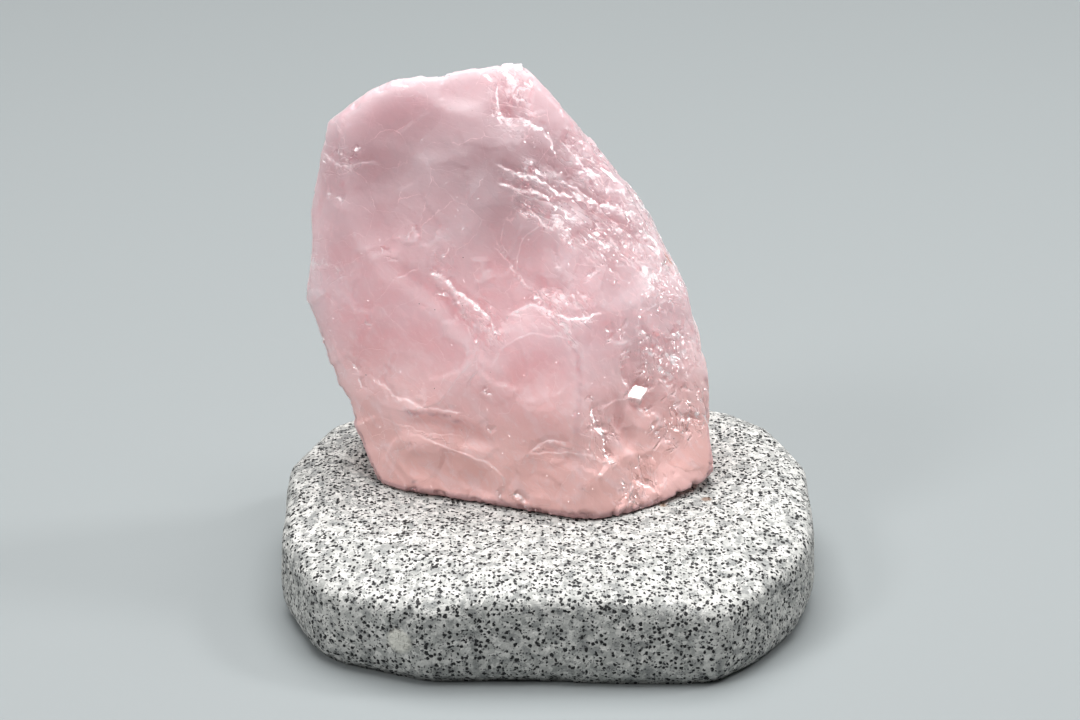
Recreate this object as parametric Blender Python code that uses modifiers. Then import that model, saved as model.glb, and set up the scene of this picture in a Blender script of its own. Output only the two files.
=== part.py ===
"""A raw chunk of rose quartz standing on a tumbled granite slab.

Both stones are made the way a quarry and a hammer make them: a plain block is split by planes,
smaller flakes are struck off it, and the surface is then weathered a little.
Metres, +Z up. The origin is on the ground under the middle of the slab, and the viewer is at -Y.
"""

import math

import bmesh
import bpy
from mathutils import Matrix, Vector
from mathutils.bvhtree import BVHTree

MM = 0.001

# ---- Driving dimensions -------------------------------------------------------------------
SLAB_WIDTH = 100 * MM
SLAB_DEPTH = 88 * MM
SLAB_HEIGHT = 19.5 * MM
SLAB_TOP_RIM = 2 * MM  # radius of the worn rim above
SLAB_FOOT_RIM = 6 * MM  # radius of the worn rim below
REST_GAP = 0.3 * MM  # between the chunk's base and the slab's top
ROUGH_BLOCK = 120 * MM  # side of the block that the chunk is split from
SAW_ALLOWANCE = 1 * MM  # left on the slab's top and bottom, then sawn off
LOWEST_ROUGH = 10 * MM  # how far the rough block reaches below the chunk's base
CHUNK_MIDDLE = Vector((-5, 8, 38)) * MM  # above the middle of the chunk's base

# ---- How finely each stone is faceted -----------------------------------------------------
CHUNK_VOXEL = 0.8 * MM
CHUNK_TRIANGLES = 7000
SLAB_VOXEL = 1.3 * MM
SLAB_TRIANGLES = 2300
TUMBLING = 7  # rounds of smoothing

LEVEL = 0.8  # how much of a face's direction is upright for the face to be part of the top or underside

# ---- How a flake or a step bites into the surface -----------------------------------------
FLAKE_CLEARANCE = 0.6  # share of the lens's half thickness that its middle stands clear
STEP_THICKNESS = 0.6  # the blade's half thickness, as a share of the step's height
STEP_TILT = 0.8  # how deep the blade's near edge is turned in, as a share of the step's height

# Each split face of the chunk: bearing in degrees (0 faces the viewer, 90 the right, 180 the back),
# lean in degrees (0 upright, 90 facing up, negative undercut), and a point on it, in millimetres.
CHUNK_FACES = {
    "front_left_low": (-18.5, 7, (2, -14.1, 0)),
    "front_left_high": (-14, 19, (-14, -4.5, 30)),
    "front_middle_low": (15, 9, (8, -15.1, 0)),
    "front_middle_high": (14, 24, (6, -3, 45)),
    "front_ridge_low": (25, 12, (13.4, -13.2, 0)),
    "front_ridge_high": (25, 27, (3.5, -2.5, 44.5)),
    "front_right_low": (34, 15, (30, -2.2, 0)),
    "front_right_high": (37, 29, (22, 8, 42)),
    "front_crown": (-8, 33, (-24, 10.4, 68)),
    "left_corner": (-38, 4, (-31.3, -0.1, 0)),
    "left_bevel_high": (-50, 12, (-37.5, 11.8, 60)),
    "left_bevel_low": (-60, -16, (-43.8, 6, 26)),
    "left_foot": (-98, -25, (-31.5, 8, 0)),
    "left_low": (-96, -15, (-45.5, 8, 26)),
    "left_middle": (-96, 4, (-46.4, 8, 40)),
    "left_high": (-100, 12, (-43.4, 12, 60)),
    "left_shoulder": (-100, 52, (-36.4, 12, 70)),
    "left_crown": (-118, 66, (-28, 12, 75.2)),
    "top": (-159, 62, (-14, 12, 79.1)),
    "right_shoulder_high": (97, 37.5, (1.2, 11, 72.3)),
    "right_shoulder": (92, 31, (18.8, 14, 47.6)),
    "right_high": (88, 14, (27.2, 14, 31)),
    "right_low": (93, 3, (30.1, 10, 8)),
    "back_left": (-158, 5, (-40, 24, 40)),
    "back_left_low": (-140, -14, (-34, 22, 12)),
    "back_middle": (-178, 12, (0, 34, 10)),
    "back_right": (142, 12, (27, 24, 10)),
    "back_high": (172, 36, (-10, 28.6, 62)),
    "back_shoulder": (130, 36, (11.6, 19.6, 57.5)),
    "undercut_front": (-18, -60, (-12, -9.2, 0.5)),
    "undercut_right": (75, -72, (23.6, -6, 0)),
    "base": (0, -90, (0, 0, -1.5)),
}

# Flakes struck off the chunk, each a shallow dish. Each row holds the side it is seen from, its place
# across and up on that side, its radius along and across, the heading of its length in degrees, and
# its depth, in millimetres.
CHUNK_FLAKES = {
    "great_scar": ("front", -27, 30, 15, 13, 60, 1.7),
    "foot_scar": ("front", -19, 5, 11, 4.5, -10, 0.9),
    "left_notch": ("front", -44.5, 50, 8, 4, 85, 1.3),
    "left_hollow": ("front", -31, 54, 12, 9, 70, 1.0),
    "shoulder_scar": ("front", -22, 68, 13, 7, 15, 0.8),
    "top_notch": ("front", -18, 77.5, 7, 4, 0, 1.1),
    "crest_scar": ("front", -4, 51, 12, 8, 60, 0.9),
    "middle_scar": ("front", 0, 24, 10, 8, 20, 0.9),
    "right_scar": ("front", 18, 23, 9, 6, 75, 0.9),
    "right_hollow": ("front", 14, 42, 11, 5, 55, 1.0),
    "corner_scar": ("front", 21, 8, 8, 5, 30, 0.8),
    "left_foot_notch": ("front", -37.5, 12, 5, 3, 60, 1.0),
    "left_foot_scar": ("front", -33, 24, 8, 5, 70, 0.7),
    "back_scar": ("back", 8, 34, 18, 13, 40, 2.4),
    "back_left_scar": ("back", -24, 50, 14, 10, -50, 1.8),
    "back_foot_scar": ("back", -14, 14, 13, 9, 20, 1.6),
    "back_crest_scar": ("back", 0, 62, 10, 6, -30, 1.1),
    "side_scar": ("right", 16, 30, 11, 8, 70, 1.4),
    "left_side_scar": ("left", 15, 40, 12, 8, 80, 1.3),
}

# Steps where a flake broke off short, each the edge of a tilted dish. Each row holds the side it is seen
# from, the middle of its edge across and up on that side, the heading of the edge in degrees, half its
# length, how far the flake ran, and the step's height. The flake lay on the right of the heading.
CHUNK_STEPS = {
    "great_ledge": ("front", -20, 17.0, -3, 11, 9, 1.5),
    "crest_ledge": ("front", -16, 38.0, -40, 13, 9, 1.4),
    "diagonal_high": ("front", -1, 60.0, 147, 12, 7, 1.1),
    "diagonal_middle": ("front", 6, 52.5, 138, 12, 6, 1.0),
    "diagonal_low": ("front", 13, 44.0, 128, 10, 5, 0.8),
    "diagonal_edge": ("front", 20, 45.0, 125, 7, 4, 0.8),
    "cross_ledge": ("front", 2, 38.0, 160, 10, 7, 0.9),
    "long_groove": ("front", 12.5, 15.0, 106, 10, 5, 1.2),
    "right_ledge": ("front", 21, 22.0, 118, 9, 4, 0.9),
    "low_ledge": ("front", 4, 9.0, 172, 9, 5, 0.7),
    "tip_ledge": ("front", -9.5, 71.5, 96, 6.5, 4, 0.8),
    "left_ledge": ("front", -38, 56.0, -12, 7, 5, 0.8),
    "back_ledge": ("back", -4, 46.0, 28, 15, 10, 1.4),
    "back_low_ledge": ("back", 10, 18.0, -12, 14, 9, 1.2),
    "back_diagonal": ("back", -22, 30.0, 62, 13, 8, 1.2),
}

# The slab's sides: bearing in degrees, lean, and distance from its middle in millimetres.
SLAB_FACES = (
    (0, 2, 44.0),
    (45, 3, 53.2),
    (56, 3, 52.4),
    (76, 1, 51.2),
    (90, 2, 50.0),
    (112, 1, 51.6),
    (135, 2, 53.0),
    (158, 1, 48.9),
    (180, 2, 44.0),
    (-158, 1, 49.0),
    (-135, 2, 53.4),
    (-112, 1, 52.2),
    (-90, 2, 50.0),
    (-70, 1, 52.2),
    (-47, 2, 53.8),
    (-24, 1, 49.8),
)

# The slopes that fall from its top to its rim: bearing in degrees, the rim's distance and height in mm.
SLAB_SLOPE = 76  # degrees of lean, so each falls by 14 degrees
SLAB_SLOPES = (
    (5, 44.0, 17.3),
    (32, 48.6, 16.3),
    (60, 51.6, 16.6),
    (100, 50.6, 17.2),
    (140, 52.4, 17.2),
    (180, 44.0, 17.4),
    (-145, 51.8, 17.2),
    (-100, 51.0, 17.0),
    (-62, 52.6, 16.2),
    (-30, 50.4, 15.8),
)

# Weathering of each stone: the size of its bumps and hollows, and their height.
CHUNK_WEATHER = ((14 * MM, 1.1 * MM), (4.5 * MM, 0.35 * MM))
SLAB_WEATHER = ((26 * MM, 1.2 * MM), (5 * MM, 0.25 * MM))


# Each stone's colour, as linear red, green and blue, and its roughness.
FINISHES = {
    "rose_quartz": ((0.72, 0.42, 0.44), 0.3),
    "granite": ((0.40, 0.40, 0.39), 0.75),
}


def clear_scene():
    for obj in list(bpy.data.objects):
        bpy.data.objects.remove(obj)


def new_collection(name):
    collection = bpy.data.collections.new(name)
    bpy.context.scene.collection.children.link(collection)
    return collection


def add_object(name, shape, collection):
    """An object holding this bmesh, in this collection."""
    mesh = bpy.data.meshes.new(name)
    shape.to_mesh(mesh)
    shape.free()
    obj = bpy.data.objects.new(name, mesh)
    collection.objects.link(obj)
    return obj


def facing(bearing, lean):
    """The outward direction of a face: bearing 0 towards -Y, 90 towards +X; lean 90 straight up."""
    turn, tip = math.radians(bearing), math.radians(lean)
    return Vector((math.sin(turn) * math.cos(tip), -math.cos(turn) * math.cos(tip), math.sin(tip)))


def box(width, depth, height):
    """A block with its base on Z = 0, centred over the origin."""
    block = bmesh.new()
    bmesh.ops.create_cube(block, size=1)
    bmesh.ops.scale(block, vec=(width, depth, height), verts=block.verts)
    bmesh.ops.translate(block, vec=(0, 0, height / 2), verts=block.verts)
    return block


def split(block, point, normal):
    """Splits the block along a plane and keeps the side behind it, closed by a flat face."""
    everything = block.verts[:] + block.edges[:] + block.faces[:]
    cut = bmesh.ops.bisect_plane(
        block, geom=everything, plane_co=point, plane_no=normal, clear_outer=True
    )
    rim = [piece for piece in cut["geom_cut"] if isinstance(piece, bmesh.types.BMEdge)]
    if rim:
        bmesh.ops.contextual_create(block, geom=rim)


# ---- Looking at a stone from one side -----------------------------------------------------
LOOKING = {
    "front": (Vector((1, 0, 0)), Vector((0, 1, 0))),
    "back": (Vector((1, 0, 0)), Vector((0, -1, 0))),
    "right": (Vector((0, 1, 0)), Vector((-1, 0, 0))),
    "left": (Vector((0, 1, 0)), Vector((1, 0, 0))),
}
FAR = 200 * MM  # from the stone, where each line of sight starts


def struck_point(surface, side, across, up):
    """Where a line of sight from this side meets the stone or passes closest, and how it faces there."""
    sideways, ahead = LOOKING[side]
    start = sideways * across * MM + Vector((0, 0, up * MM)) - ahead * FAR
    point, normal, _, _ = surface.ray_cast(start, ahead)
    if point is None:
        beside = start + ahead * (FAR + CHUNK_MIDDLE.dot(ahead))
        point, normal, _, _ = surface.find_nearest(beside)
    return point, normal


def stand_on(point, normal, heading):
    """The matrix that stands a shape on the surface, with its X along the heading and its Z outwards."""
    turn = math.radians(heading)
    upward = (Vector((0, 0, 1)) - normal * normal.z).normalized()
    along = upward.cross(normal) * math.cos(turn) + upward * math.sin(turn)
    return Matrix.Translation(point) @ Matrix((along, normal.cross(along), normal)).transposed().to_4x4()


def add_cutter(name, shape, frame, collection):
    cutter = add_object(name, shape, collection)
    cutter.matrix_world = frame
    cutter.hide_render = True
    cutter.display_type = "WIRE"


def lens(half_length, half_width, half_thickness):
    """A sphere pressed flat, which is the shape of a flake's bed."""
    shape = bmesh.new()
    bmesh.ops.create_uvsphere(shape, u_segments=36, v_segments=18, radius=1)
    bmesh.ops.scale(shape, vec=(half_length, half_width, half_thickness), verts=shape.verts)
    return shape


def add_flake(name, surface, flake, collection):
    """A flat lens standing partly clear of the surface, so that it cuts a dish of these radii and depth."""
    side, across, up, radius_along, radius_across, heading, depth = flake
    spread = MM / math.sqrt(1 - FLAKE_CLEARANCE**2)
    half_thickness = depth / (1 - FLAKE_CLEARANCE) * MM
    dish = lens(radius_along * spread, radius_across * spread, half_thickness)
    bmesh.ops.translate(dish, vec=(0, 0, FLAKE_CLEARANCE * half_thickness), verts=dish.verts)
    frame = stand_on(*struck_point(surface, side, across, up), heading)
    add_cutter(name, dish, frame, collection)


def add_step(name, surface, step, collection):
    """A lens tilted so that its near edge digs in by the step's height and its far edge comes out."""
    side, across, up, heading, half_length, run, height = step
    blade = lens(half_length * MM, run / 2 * MM, STEP_THICKNESS * height * MM)
    tilt = Matrix.Rotation(-math.asin(STEP_TILT * height / (run / 2)), 3, "X")
    bmesh.ops.rotate(blade, verts=blade.verts, cent=(0, 0, 0), matrix=tilt)
    bmesh.ops.translate(blade, vec=(0, -run / 2 * MM, 0), verts=blade.verts)
    frame = stand_on(*struck_point(surface, side, across, up), heading)
    add_cutter(name, blade, frame, collection)


def weather(obj, layers):
    """Pushes the surface in and out a little, by soft noise of each feature size."""
    for number, (size, height) in enumerate(layers):
        texture = bpy.data.textures.new(f"{obj.name}_weather_{number}", "CLOUDS")
        texture.noise_scale = size
        texture.noise_depth = 1
        displace = obj.modifiers.new(f"weather_{number}", "DISPLACE")
        displace.texture = texture
        displace.texture_coords = "LOCAL"
        displace.mid_level = 0.5
        displace.strength = height


def remesh(obj, voxel):
    """Even triangles of one size, ready to be weathered."""
    modifier = obj.modifiers.new("even_mesh", "REMESH")
    modifier.mode = "VOXEL"
    modifier.voxel_size = voxel


def evaluated_triangles(obj):
    graph = bpy.context.evaluated_depsgraph_get()
    mesh = obj.evaluated_get(graph).to_mesh()
    mesh.calc_loop_triangles()
    return len(mesh.loop_triangles)


def facet(obj, triangles):
    """Leaves about this many facets, with the smallest along the ridges."""
    bpy.context.view_layer.update()
    modifier = obj.modifiers.new("facets", "DECIMATE")
    modifier.ratio = 1.0
    bpy.context.view_layer.update()
    modifier.ratio = min(1.0, triangles / evaluated_triangles(obj))


def saw_flat(obj, levels):
    """Bakes the modifiers and saws the stone flat at each level, which is Z against the outward sign."""
    graph = bpy.context.evaluated_depsgraph_get()
    stone = bmesh.new()
    stone.from_object(obj, graph)
    for level, outward in levels.items():
        split(stone, (0, 0, level), (0, 0, outward))
    obj.modifiers.clear()
    stone.to_mesh(obj.data)
    stone.free()


def fit_over_origin(obj, width, depth):
    """Scales the mesh a little, so that its extents are these and its middle is over the origin."""
    for axis, extent in enumerate((width, depth)):
        along = [vertex.co[axis] for vertex in obj.data.vertices]
        middle = (max(along) + min(along)) / 2
        stretch = extent / (max(along) - min(along))
        for vertex in obj.data.vertices:
            vertex.co[axis] = (vertex.co[axis] - middle) * stretch


def add_boolean(obj, name, operation, **operand):
    modifier = obj.modifiers.new(name, "BOOLEAN")
    modifier.operation = operation
    modifier.solver = "EXACT"
    for key, value in operand.items():
        setattr(modifier, key, value)


def stone_material(name):
    colour, roughness = FINISHES[name]
    material = bpy.data.materials.new(name)
    material.use_nodes = True
    shader = material.node_tree.nodes["Principled BSDF"]
    shader.inputs["Base Color"].default_value = (*colour, 1)
    shader.inputs["Roughness"].default_value = roughness
    shader.inputs["Metallic"].default_value = 0
    material.diffuse_color = (*colour, 1)
    return material


def make_chunk(parts, cutters):
    """A block split by planes, with flakes struck off, then weathered and sawn flat to stand on."""
    rough = box(ROUGH_BLOCK, ROUGH_BLOCK, ROUGH_BLOCK)
    bmesh.ops.translate(rough, vec=(0, 0, -LOWEST_ROUGH), verts=rough.verts)
    for bearing, lean, point in CHUNK_FACES.values():
        split(rough, Vector(point) * MM, facing(bearing, lean))
    bmesh.ops.recalc_face_normals(rough, faces=rough.faces)
    surface = BVHTree.FromBMesh(rough)
    chunk = add_object("rose_quartz_chunk", rough, parts)
    chunk.location.z = SLAB_HEIGHT + REST_GAP
    flakes = bpy.data.collections.new("chunk_flakes")
    cutters.children.link(flakes)
    for name, flake in CHUNK_FLAKES.items():
        add_flake(name, surface, flake, flakes)
    for name, step in CHUNK_STEPS.items():
        add_step(name, surface, step, flakes)
    for cutter in flakes.objects:
        cutter.location.z += chunk.location.z
    add_boolean(chunk, "flakes", "DIFFERENCE", operand_type="COLLECTION", collection=flakes)
    remesh(chunk, CHUNK_VOXEL)
    weather(chunk, CHUNK_WEATHER)
    facet(chunk, CHUNK_TRIANGLES)
    saw_flat(chunk, {0.0: -1})
    chunk.data.materials.append(stone_material("rose_quartz"))


def wear_rim(block, face_up, radius):
    """Rounds the edges around the faces that look up, or down."""
    inside = [face for face in block.faces if face.normal.z * face_up > LEVEL]
    rim = {edge for face in inside for edge in face.edges}
    rim = [edge for edge in rim if any(face.normal.z * face_up <= LEVEL for face in edge.link_faces)]
    bmesh.ops.bevel(block, geom=rim, offset=radius, segments=4, profile=0.5, affect="EDGES")


def make_slab(parts):
    """A low block with its sides split off, its rims worn round and its surface tumbled."""
    rough = box(ROUGH_BLOCK, ROUGH_BLOCK, SLAB_HEIGHT + 2 * SAW_ALLOWANCE)
    bmesh.ops.translate(rough, vec=(0, 0, -SAW_ALLOWANCE), verts=rough.verts)
    for bearing, lean, reach in SLAB_FACES:
        outward = facing(bearing, lean)
        split(rough, facing(bearing, 0) * reach * MM + Vector((0, 0, SLAB_HEIGHT / 2)), outward)
    for bearing, reach, height in SLAB_SLOPES:
        split(rough, (facing(bearing, 0) * reach + Vector((0, 0, height))) * MM, facing(bearing, SLAB_SLOPE))
    bmesh.ops.recalc_face_normals(rough, faces=rough.faces)
    wear_rim(rough, -1, SLAB_FOOT_RIM)
    wear_rim(rough, 1, SLAB_TOP_RIM)
    slab = add_object("granite_slab", rough, parts)
    remesh(slab, SLAB_VOXEL)
    smooth = slab.modifiers.new("tumbled", "SMOOTH")
    smooth.factor = 0.5
    smooth.iterations = TUMBLING
    weather(slab, SLAB_WEATHER)
    facet(slab, SLAB_TRIANGLES)
    saw_flat(slab, {0.0: -1, SLAB_HEIGHT: 1})
    fit_over_origin(slab, SLAB_WIDTH, SLAB_DEPTH)
    slab.data.materials.append(stone_material("granite"))


def main():
    clear_scene()
    parts = new_collection("rose_quartz_on_granite")
    cutters = new_collection("cutters")
    make_slab(parts)
    make_chunk(parts, cutters)


main()
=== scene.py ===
# %% [markdown]
# # A rose quartz chunk on a granite slab
#
# Two loose stones: a raw, broken chunk of rose quartz, and the low tumbled block of granite that it
# stands on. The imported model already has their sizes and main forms. This lesson gives each stone the
# fine relief and the finish that the hand and the eye expect.

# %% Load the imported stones
import math
import random

import bpy
import numpy as np
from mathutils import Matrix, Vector, noise


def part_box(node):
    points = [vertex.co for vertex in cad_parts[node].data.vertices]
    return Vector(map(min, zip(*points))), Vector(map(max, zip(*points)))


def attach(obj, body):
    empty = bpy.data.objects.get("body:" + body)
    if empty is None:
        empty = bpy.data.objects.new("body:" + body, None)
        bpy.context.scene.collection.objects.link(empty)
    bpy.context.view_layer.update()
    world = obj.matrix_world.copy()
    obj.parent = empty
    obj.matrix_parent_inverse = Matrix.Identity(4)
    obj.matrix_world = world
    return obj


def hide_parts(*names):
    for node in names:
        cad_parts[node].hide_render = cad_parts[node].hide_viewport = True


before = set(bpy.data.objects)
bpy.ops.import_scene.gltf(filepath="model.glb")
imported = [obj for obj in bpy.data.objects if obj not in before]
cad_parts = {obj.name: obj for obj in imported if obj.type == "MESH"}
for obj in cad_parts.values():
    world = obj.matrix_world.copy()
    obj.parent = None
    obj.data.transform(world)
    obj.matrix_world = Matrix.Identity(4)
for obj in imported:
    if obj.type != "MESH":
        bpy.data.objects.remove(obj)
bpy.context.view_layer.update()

MM = 0.001

# %% [markdown]
# ## Colours and nodes
#
# Colours are picked as sRGB hex values, the way a colour card gives them, and a shader needs them
# linear. One function turns one into the other. A second small function adds a node to a material, sets
# it, and links what feeds it, so that each material reads as a list of its layers.

# %% From a hex colour to a shader's colour
def linear(hex_colour):
    """sRGB hex, such as "#E3AEB4", as the linear colour with alpha that a shader takes."""
    shares = [int(hex_colour[i:i + 2], 16) / 255 for i in (1, 3, 5)]
    return (*[s / 12.92 if s <= 0.04045 else ((s + 0.055) / 1.055) ** 2.4 for s in shares], 1.0)


print("pale rose in linear light:", [round(c, 3) for c in linear("#E6B2B8")])

# %% One function for every node
def add(tree, kind, inputs=(), **settings):
    """Adds a node. Settings are its own properties. Inputs feed its sockets, in order or by name: each
    is a value, an output, or a node, which then feeds in its first output."""
    node = tree.nodes.new("ShaderNode" + kind)
    for name, value in settings.items():
        setattr(node, name, value)
    for socket, value in inputs.items() if isinstance(inputs, dict) else enumerate(inputs):
        if isinstance(value, bpy.types.Node):
            value = value.outputs[0]
        if isinstance(value, bpy.types.NodeSocket):
            tree.links.new(value, node.inputs[socket])
        else:
            node.inputs[socket].default_value = value
    return node


def new_material(name):
    """A material with its node tree and its shader."""
    material = bpy.data.materials.new(name)
    material.use_nodes = True
    return material, material.node_tree, material.node_tree.nodes["Principled BSDF"]


# %% [markdown]
# ## The studio
#
# A long lens from a little above keeps the stones' proportions true. The camera turns by a quaternion
# worked out from its view direction, which saves guessing three angles.

# %% Camera
AIM = Vector((-1.56, 0, 45.3)) * MM
CAMERA_DISTANCE = 700 * MM
CAMERA_ELEVATION = math.radians(24.1)
ahead = Vector((0, math.cos(CAMERA_ELEVATION), -math.sin(CAMERA_ELEVATION)))
camera = bpy.data.objects.new("camera", bpy.data.cameras.new("camera"))
camera.data.sensor_width = 36
camera.data.lens = 125.84
camera.data.clip_start = 0.01
camera.location = AIM - ahead * CAMERA_DISTANCE
camera.rotation_mode = "QUATERNION"
camera.rotation_quaternion = ahead.to_track_quat("-Z", "Y")
bpy.context.scene.collection.objects.link(camera)
bpy.context.scene.camera = camera
bpy.context.scene.view_settings.view_transform = "Standard"
print("camera at", [round(x, 3) for x in camera.location])

# %% [markdown]
# A broad lamp overhead lights the tops and leaves the granite's front in shade. Rose quartz lets light
# through, so it glows there all the same. A small, strong key lamp from the right puts glints on the
# broken steps, and a small, weaker fill does so on the side that faces left.

# %% Lamps and sky
KEY_FROM = Vector((0.75, 0.12, 0.68)).normalized()
FILL_FROM = Vector((-0.62, -0.46, 0.64)).normalized()
LAMP_DISTANCE = 0.9
LAMPS = {
    "overhead": (Vector((0.0, 0.10, 1.0)).normalized(), 0.90, 18.5),
    "key": (KEY_FROM, 0.15, 2.8),
    "fill": (FILL_FROM, 0.20, 2.7),
}
for name, (toward, size, watts) in LAMPS.items():
    lamp = bpy.data.objects.new(name, bpy.data.lights.new(name, "AREA"))
    lamp.data.size = size
    lamp.data.energy = watts
    lamp.location = AIM + toward * LAMP_DISTANCE
    lamp.rotation_mode = "QUATERNION"
    lamp.rotation_quaternion = (-toward).to_track_quat("-Z", "Y")
    bpy.context.scene.collection.objects.link(lamp)

world = bpy.data.worlds.new("studio")
bpy.context.scene.world = world
world.use_nodes = True
world.node_tree.nodes["Background"].inputs["Color"].default_value = linear("#C8C8C8")
world.node_tree.nodes["Background"].inputs["Strength"].default_value = 0.16
print("lamps:", ", ".join(LAMPS))

# %% [markdown]
# The floor is a board painted pale grey, matt enough to mirror nothing.

# %% Floor
HALF_FLOOR = 3.0
CORNERS = ((-1, -1), (1, -1), (1, 1), (-1, 1))
floor_mesh = bpy.data.meshes.new("floor")
floor_mesh.from_pydata([(x * HALF_FLOOR, y * HALF_FLOOR, 0) for x, y in CORNERS], [], [(0, 1, 2, 3)])
floor = bpy.data.objects.new("floor", floor_mesh)
bpy.context.scene.collection.objects.link(floor)
painted, _, shader = new_material("painted_board")
shader.inputs["Base Color"].default_value = linear("#888D8E")
shader.inputs["Roughness"].default_value = 0.75
floor_mesh.materials.append(painted)
print("floor:", 2 * HALF_FLOOR, "m square")

# %% [markdown]
# ## A finer mesh for each stone
#
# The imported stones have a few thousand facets, which is right for physics and too coarse for the eye.
# Each is copied, remeshed into small even faces, and melted just enough to lose its facets' outlines.
# What comes next only moves these points, so it can be worked out with arrays of numbers.

# %% Reading and moving a piece's points
def bake(piece):
    """Makes the modifiers' result the piece's own mesh."""
    graph = bpy.context.evaluated_depsgraph_get()
    mesh = bpy.data.meshes.new_from_object(piece.evaluated_get(graph))
    piece.modifiers.clear()
    piece.data = mesh
    mesh.name = piece.name


def points_of(piece):
    """The piece's points and the directions that they face, in millimetres."""
    count = len(piece.data.vertices)
    points = np.empty(count * 3)
    facing = np.empty(count * 3)
    piece.data.vertices.foreach_get("co", points)
    piece.data.vertex_normals.foreach_get("vector", facing)
    return points.reshape(-1, 3) / MM, facing.reshape(-1, 3)


def move_points(piece, points):
    piece.data.vertices.foreach_set("co", (points * MM).ravel())
    piece.data.update()


# %% Fine copies
def copy_of(original, name):
    piece = bpy.data.objects.new(name, original.data.copy())
    bpy.context.scene.collection.objects.link(piece)
    return piece


def melt(piece, rounds):
    smooth = piece.modifiers.new("melt", "SMOOTH")
    smooth.factor = 0.5
    smooth.iterations = rounds


def fine_copy(node, name, face, rounds):
    """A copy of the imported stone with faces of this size, smoothed by this many rounds."""
    piece = copy_of(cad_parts[node], name)
    remesh = piece.modifiers.new("even_faces", "REMESH")
    remesh.mode = "VOXEL"
    remesh.voxel_size = face
    melt(piece, rounds)
    bake(piece)
    return piece


QUARTZ_FACE = 0.46 * MM
FACET_MELT = 3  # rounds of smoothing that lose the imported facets' outlines
chunk = fine_copy("rose_quartz_chunk", "rose_quartz", QUARTZ_FACE, FACET_MELT)
points, facing = points_of(chunk)
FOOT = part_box("rose_quartz_chunk")[0].z / MM
print("quartz points:", len(points), "standing at", round(FOOT, 2), "mm")

# %% [markdown]
# ## Relief of broken quartz
#
# Quartz has no cleavage, so it breaks like glass: in shallow dishes that meet in low ridges, and in
# splintery bands of small steps where a crack changed level. Three kinds of number field make that:
# soft swells, dishes around scattered centres, and a sawtooth whose teeth are the steps. Each is a
# height in millimetres, added along the direction that the surface faces. The noise gets a fixed start,
# because its offsets are otherwise drawn anew on every run.

# %% Fields of numbers over the points
NOISE_START = 1
noise.seed_set(NOISE_START)


def seeds(points, size, seed):
    return (points / size + 17.31 * seed).tolist()


def swell(points, size, seed):
    """Soft noise between -1 and 1, with bumps about this big."""
    return np.array([noise.noise(p) for p in seeds(points, size, seed)])


def drift(points, size, seed):
    """Three soft noises, to push points sideways so that no field has straight edges."""
    return np.array([noise.noise_vector(p)[:] for p in seeds(points, size, seed)])


def dishes(points, size, seed):
    """0 in the middle of each dish, rising to about 1 at the ridges between them."""
    return np.array([noise.voronoi(p)[0][0] for p in seeds(points, size, seed)]) ** 2


# %% Facets, eases and teeth
def facets(points, size, seed):
    """Flat facets of about this size, each tilted its own way by up to about 45 degrees."""
    places = seeds(points, size, seed)
    middles = [noise.voronoi(p)[1][0] for p in places]
    tilts = np.array([noise.noise_vector(m * 5.7 + Vector((0.31, 0.57, 0.83)))[:] for m in middles])
    return ((np.array(places) - np.array(middles)) * tilts).sum(axis=1) * size * 1.6


def rise(values, low, high):
    """0 below low, 1 above high, and an even ease between."""
    share = np.clip((values - low) / (high - low), 0, 1)
    return share * share * (3 - 2 * share)


def teeth(phase):
    """A sawtooth: it ramps up by 1 over each whole step of the phase, then drops back at once."""
    return phase % 1.0 - 1.0


print("a tooth at a quarter of a step:", teeth(0.25))

# %% [markdown]
# A blow leaves its mark unevenly: most of a face is smooth and glassy, and the splintery part lies in
# bands. The bands are given by place, as soft round spots seen from the front.

# %% Where the splintery bands are
# across and up of the middle, radius, and how splintery
SPLINTERED = {
    "tip": (-8, 73, 4, 0.6),
    "top_edge": (-27, 74.5, 3, 0.5),
    "high_right_edge": (8, 60, 6, 0.7),
    "upper_diagonal": (-3, 58.0, 4, 0.9),
    "middle_diagonal": (3, 54.0, 4, 0.9),
    "lower_diagonal": (9, 49.5, 4.5, 0.9),
    "right_shoulder": (15, 48, 6, 1.0),
    "right_edge_high": (22, 40, 5, 1.0),
    "right_edge": (24, 27, 6, 0.9),
    "right_edge_low": (27, 14, 5, 0.8),
    "crest_high": (-20, 43, 2.2, 0.35),
    "crest_low": (-11, 34.5, 3.5, 0.5),
    "cross": (3, 38, 4.5, 0.6),
    "left_shoulder": (-39, 59, 3.0, 0.45),
    "left_edge": (-43, 40, 4, 0.4),
    "groove": (9.5, 15, 4, 0.5),
    "foot_right": (17, 4, 4.5, 0.6),
}


def splintering(points):
    """How splintery the stone is at each point, from 0 to 1."""
    share = np.full(len(points), 0.02)
    for across, up, radius, strength in SPLINTERED.values():
        away = np.hypot(points[:, 0] - across, points[:, 2] - FOOT - up) / radius
        share = np.maximum(share, strength * (1 - rise(away, 0.55, 1.45)))
    return share


splintery = splintering(points + 3.0 * drift(points, 7.0, 3) + 2.0 * drift(points, 2.2, 13))
print("splintery share of the surface:", round(float((splintery > 0.4).mean()), 2))

# %% [markdown]
# The glassy faces get only faint dishes and facets. The bands get coarse steps, and finer ones that
# masons call hackle. A crack spreads in arcs around the place of the blow, so the steps are arcs too:
# their phase is the distance from the blow. Their noise is drawn out along the arcs, for long streaks.

# %% Faint dishes, and bands of coarse and fine steps
BLOW_AT = (-28.0, 9.5)
STEP_PERIOD = 3.0
HACKLE_PERIOD = 1.2
DRAWN_OUT = 3.3
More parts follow.
